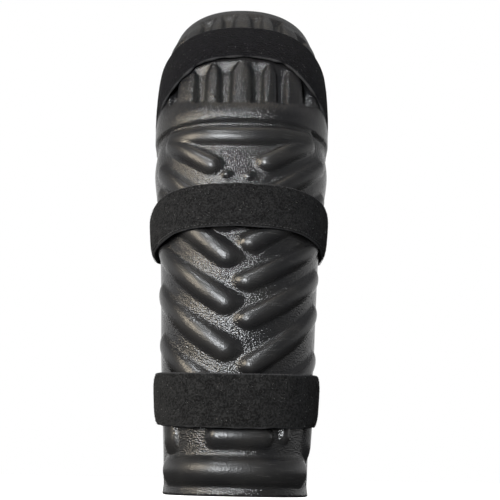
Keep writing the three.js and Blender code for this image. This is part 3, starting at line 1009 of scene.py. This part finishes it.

# %% [markdown]
# The webbing is dull black with a slight grey bloom at grazing angles, which is what a constant sheen on
# the shader gives. Its colour is mottled, as by pile that lies different ways, and the selvedges are a
# little paler. All three straps are one webbing, but the knee strap's black is painted darker than the calf's
# and ankle's: painted shade against the extra light that its upward face catches from above. The pile is
# nearly black, the thread dark grey and the lint pale.

# %% Loop webbing, pile and lint
def webbing_finish(name, dark, light):
    finish = Finish(name)
    place = finish.place()
    across = finish.noted("across")
    tufts = finish.noise(place, 620.0, 2.0, 0.6).between(0.40, 0.60)
    mottle = finish.noise(place, 150.0, 3.0).between(0.35, 0.65)
    ribs = finish.noise(finish.stretched(finish.flat(), (1500.0, 420.0, 1.0)), 1.0, 2.0)
    edge = (across * across).between(0.86, 0.97)
    ground = finish.mixed(mottle * 0.3 + tufts * 0.7, dark, light)
    shade = finish.mixed(edge * 0.8, ground, (0.040, 0.040, 0.042, 1))
    finish.set("Base Color", shade)
    finish.set("Roughness", 0.86 + tufts * 0.12)
    finish.set("Specular IOR Level", 0.08)
    finish.set("Sheen Weight", 0.02)
    finish.set("Sheen Roughness", 0.45)
    soft = finish.bump(tufts + ribs * 0.4, 0.0008, 0.8)
    finish.set("Normal", soft)
    return finish.material


def fibre_finish(name, dark, light, sheen):
    finish = Finish(name)
    place = finish.place()
    shade = finish.noise(place, 620.0, 2.0, 0.6).between(0.40, 0.60)
    finish.set("Base Color", finish.mixed(shade, dark, light))
    finish.set("Roughness", 0.75 + shade * 0.15)
    finish.set("Specular IOR Level", 0.1)
    finish.set("Sheen Weight", sheen)
    return finish.material


# One webbing in three shades: the knee strap's darker black is painted shade against the light it catches
# from above.
WEBBING_BLACKS_WITH_PAINTED_SHADE = {
    "knee_strap": ("painted_shade_knee_webbing", (0.0004, 0.0004, 0.0008, 1), (0.0060, 0.0058, 0.0075, 1)),
    "calf_strap": ("black_calf_webbing", (0.0030, 0.0030, 0.0033, 1), (0.0190, 0.0190, 0.0194, 1)),
    "ankle_strap": ("black_ankle_webbing", (0.0038, 0.0038, 0.0039, 1), (0.0210, 0.0210, 0.0211, 1)),
}
webbing_materials = {name: webbing_finish(*shades) for name, shades in WEBBING_BLACKS_WITH_PAINTED_SHADE.items()}
pile_material = fibre_finish("black_pile", (0.0006, 0.0006, 0.0010, 1), (0.010, 0.010, 0.011, 1), 0.01)
lint_material = fibre_finish("pale_lint", (0.07, 0.07, 0.07, 1), (0.34, 0.34, 0.33, 1), 0.0)
thread_material = fibre_finish("black_thread", (0.035, 0.035, 0.036, 1), (0.070, 0.070, 0.072, 1), 0.05)
for strap in STRAPS:
    straps[strap.name].data.materials.append(webbing_materials[strap.name])
    pile[strap.name].data.materials.append(pile_material)
    lint[strap.name].data.materials.append(lint_material)
    stitches[strap.name].data.materials.append(thread_material)
print("finishes:", sorted(webbing_materials), pile_material.name, lint_material.name)

# %% [markdown]
# Every piece rides on the pad's one rigid body and stands for the solid that it covers. The pile, the
# stitches and the lint belong to the strap under them.

# %% Put the pieces on the frame
def dress(piece, node):
    """Rides on the body and replaces the node."""
    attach(piece, "root")
    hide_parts(node)


dress(shell, "shell")
for strap in STRAPS:
    for piece in (straps[strap.name], pile[strap.name], lint[strap.name], stitches[strap.name]):
        dress(piece, strap.name)
print("pieces on the frame:", 1 + 4 * len(STRAPS))

# %% [markdown]
# The stage is a plain white table with no back wall, in a white room. Black plastic shows its lights as
# mirror-like streaks, so their size and place matter more than their strength. A tall narrow light to the
# left of the camera draws the long highlights down the bars, and a tall warm one further left adds a second
# edge to them. A small high light and a weak one overhead pick out the knee cup. The room is bright behind
# the pad, which is why its sides go pale, and dim in front. Only the camera sees the table as white:
# mirrored in the plastic, a white table would flatten it.

# %% Stage and lights
FLOOR_SIZE = 6.0
KEY_PLACE = Vector((-0.37, -1.28, 0.36))
KEY_SIZE = (0.13, 0.62)
KEY_WATTS = 23.0
KEY_COLOUR = (0.94, 0.97, 1.0)
SIDE_PLACE = Vector((-1.00, -0.90, 0.60))
SIDE_SIZE = (0.18, 0.80)
SIDE_WATTS = 14.0
SIDE_COLOUR = (1.0, 0.88, 0.70)
HIGH_PLACE = Vector((-0.34, -1.02, 1.32))
HIGH_SIZE = (0.15, 0.15)
HIGH_WATTS = 7.5
TOP_PLACE = Vector((-0.05, -0.20, 1.50))
TOP_SIZE = (0.40, 0.40)
TOP_WATTS = 0.8
AIM = Vector((0.0, 0.0, 0.25))


def table_top():
    """A large plain table that is white for the camera and dim for every other ray."""
    half = FLOOR_SIZE / 2
    mesh = bpy.data.meshes.new("table_top")
    corner = [(half, half), (-half, half), (-half, -half), (half, -half)]
    mesh.from_pydata([(x, y, 0.0) for x, y in corner], [], [(0, 1, 2, 3)])
    floor = bpy.data.objects.new("table_top", mesh)
    bpy.context.scene.collection.objects.link(floor)
    finish = Finish("white_table")
    paper = finish.noise(finish.place(), 60.0, 2.0)
    finish.set("Base Color", finish.mixed(paper, (0.90, 0.90, 0.90, 1), (0.93, 0.93, 0.93, 1)))
    finish.set("Roughness", 0.9 + paper * 0.05)
    finish.set("Emission Color", (1, 1, 1, 1))
    finish.set("Emission Strength", 0.9)
    dim = finish.nodes.new("ShaderNodeBsdfDiffuse")
    dim.inputs["Color"].default_value = (0.10, 0.10, 0.10, 1)
    rays = finish.nodes.new("ShaderNodeLightPath")
    mix = finish.nodes.new("ShaderNodeMixShader")
    finish.links.new(rays.outputs["Is Camera Ray"], mix.inputs[0])
    finish.links.new(dim.outputs[0], mix.inputs[1])
    finish.links.new(finish.shader.outputs[0], mix.inputs[2])
    finish.links.new(mix.outputs[0], finish.nodes["Material Output"].inputs["Surface"])
    floor.data.materials.append(finish.material)
    return floor


def soft_light(name, place, size, watts, colour):
    """A rectangular soft light aimed at the pad."""
    lamp = bpy.data.lights.new(name, "AREA")
    lamp.shape = "RECTANGLE"
    lamp.size = size[0]
    lamp.size_y = size[1]
    lamp.energy = watts
    lamp.color = colour
    light = bpy.data.objects.new(name, lamp)
    aim = (AIM - place).to_track_quat("-Z", "Y")
    light.matrix_world = Matrix.Translation(place) @ aim.to_matrix().to_4x4()
    bpy.context.scene.collection.objects.link(light)
    return light


def white_room():
    """A white room as the camera sees it, and a dimmer one in front as the plastic mirrors it."""
    world = bpy.data.worlds.new("white_room")
    world.use_nodes = True
    bpy.context.scene.world = world
    nodes = world.node_tree.nodes
    links = world.node_tree.links
    seen = nodes["Background"]
    seen.inputs["Color"].default_value = (1, 1, 1, 1)
    seen.inputs["Strength"].default_value = 1.0
    mirrored = nodes.new("ShaderNodeBackground")
    mirrored.inputs["Strength"].default_value = 1.0
    way = nodes.new("ShaderNodeTexCoord")
    parts = nodes.new("ShaderNodeSeparateXYZ")
    links.new(way.outputs["Generated"], parts.inputs[0])
    shade = nodes.new("ShaderNodeMapRange")
    shade.interpolation_type = "SMOOTHSTEP"
    for name, value in (("From Min", -0.9), ("From Max", 0.35), ("To Min", 0.065), ("To Max", 1.0)):
        shade.inputs[name].default_value = value
    links.new(parts.outputs["Y"], shade.inputs["Value"])
    overhead = nodes.new("ShaderNodeMapRange")
    overhead.interpolation_type = "SMOOTHSTEP"
    for name, value in (("From Min", 0.28), ("From Max", 0.56), ("To Min", 1.0), ("To Max", 0.32)):
        overhead.inputs[name].default_value = value
    links.new(parts.outputs["Z"], overhead.inputs["Value"])
    both = nodes.new("ShaderNodeMath")
    both.operation = "MULTIPLY"
    links.new(shade.outputs["Result"], both.inputs[0])
    links.new(overhead.outputs["Result"], both.inputs[1])
    links.new(both.outputs[0], mirrored.inputs["Color"])
    rays = nodes.new("ShaderNodeLightPath")
    mix = nodes.new("ShaderNodeMixShader")
    links.new(rays.outputs["Is Camera Ray"], mix.inputs[0])
    links.new(mirrored.outputs[0], mix.inputs[1])
    links.new(seen.outputs[0], mix.inputs[2])
    links.new(mix.outputs[0], nodes["World Output"].inputs["Surface"])


floor = table_top()
key = soft_light("key_light", KEY_PLACE, KEY_SIZE, KEY_WATTS, KEY_COLOUR)
side = soft_light("side_light", SIDE_PLACE, SIDE_SIZE, SIDE_WATTS, SIDE_COLOUR)
high = soft_light("high_light", HIGH_PLACE, HIGH_SIZE, HIGH_WATTS, KEY_COLOUR)
top = soft_light("top_light", TOP_PLACE, TOP_SIZE, TOP_WATTS, SIDE_COLOUR)
white_room()
bpy.context.scene.view_settings.view_transform = "Standard"
print("stage:", floor.name, "lights:", key.name, side.name, high.name, top.name)
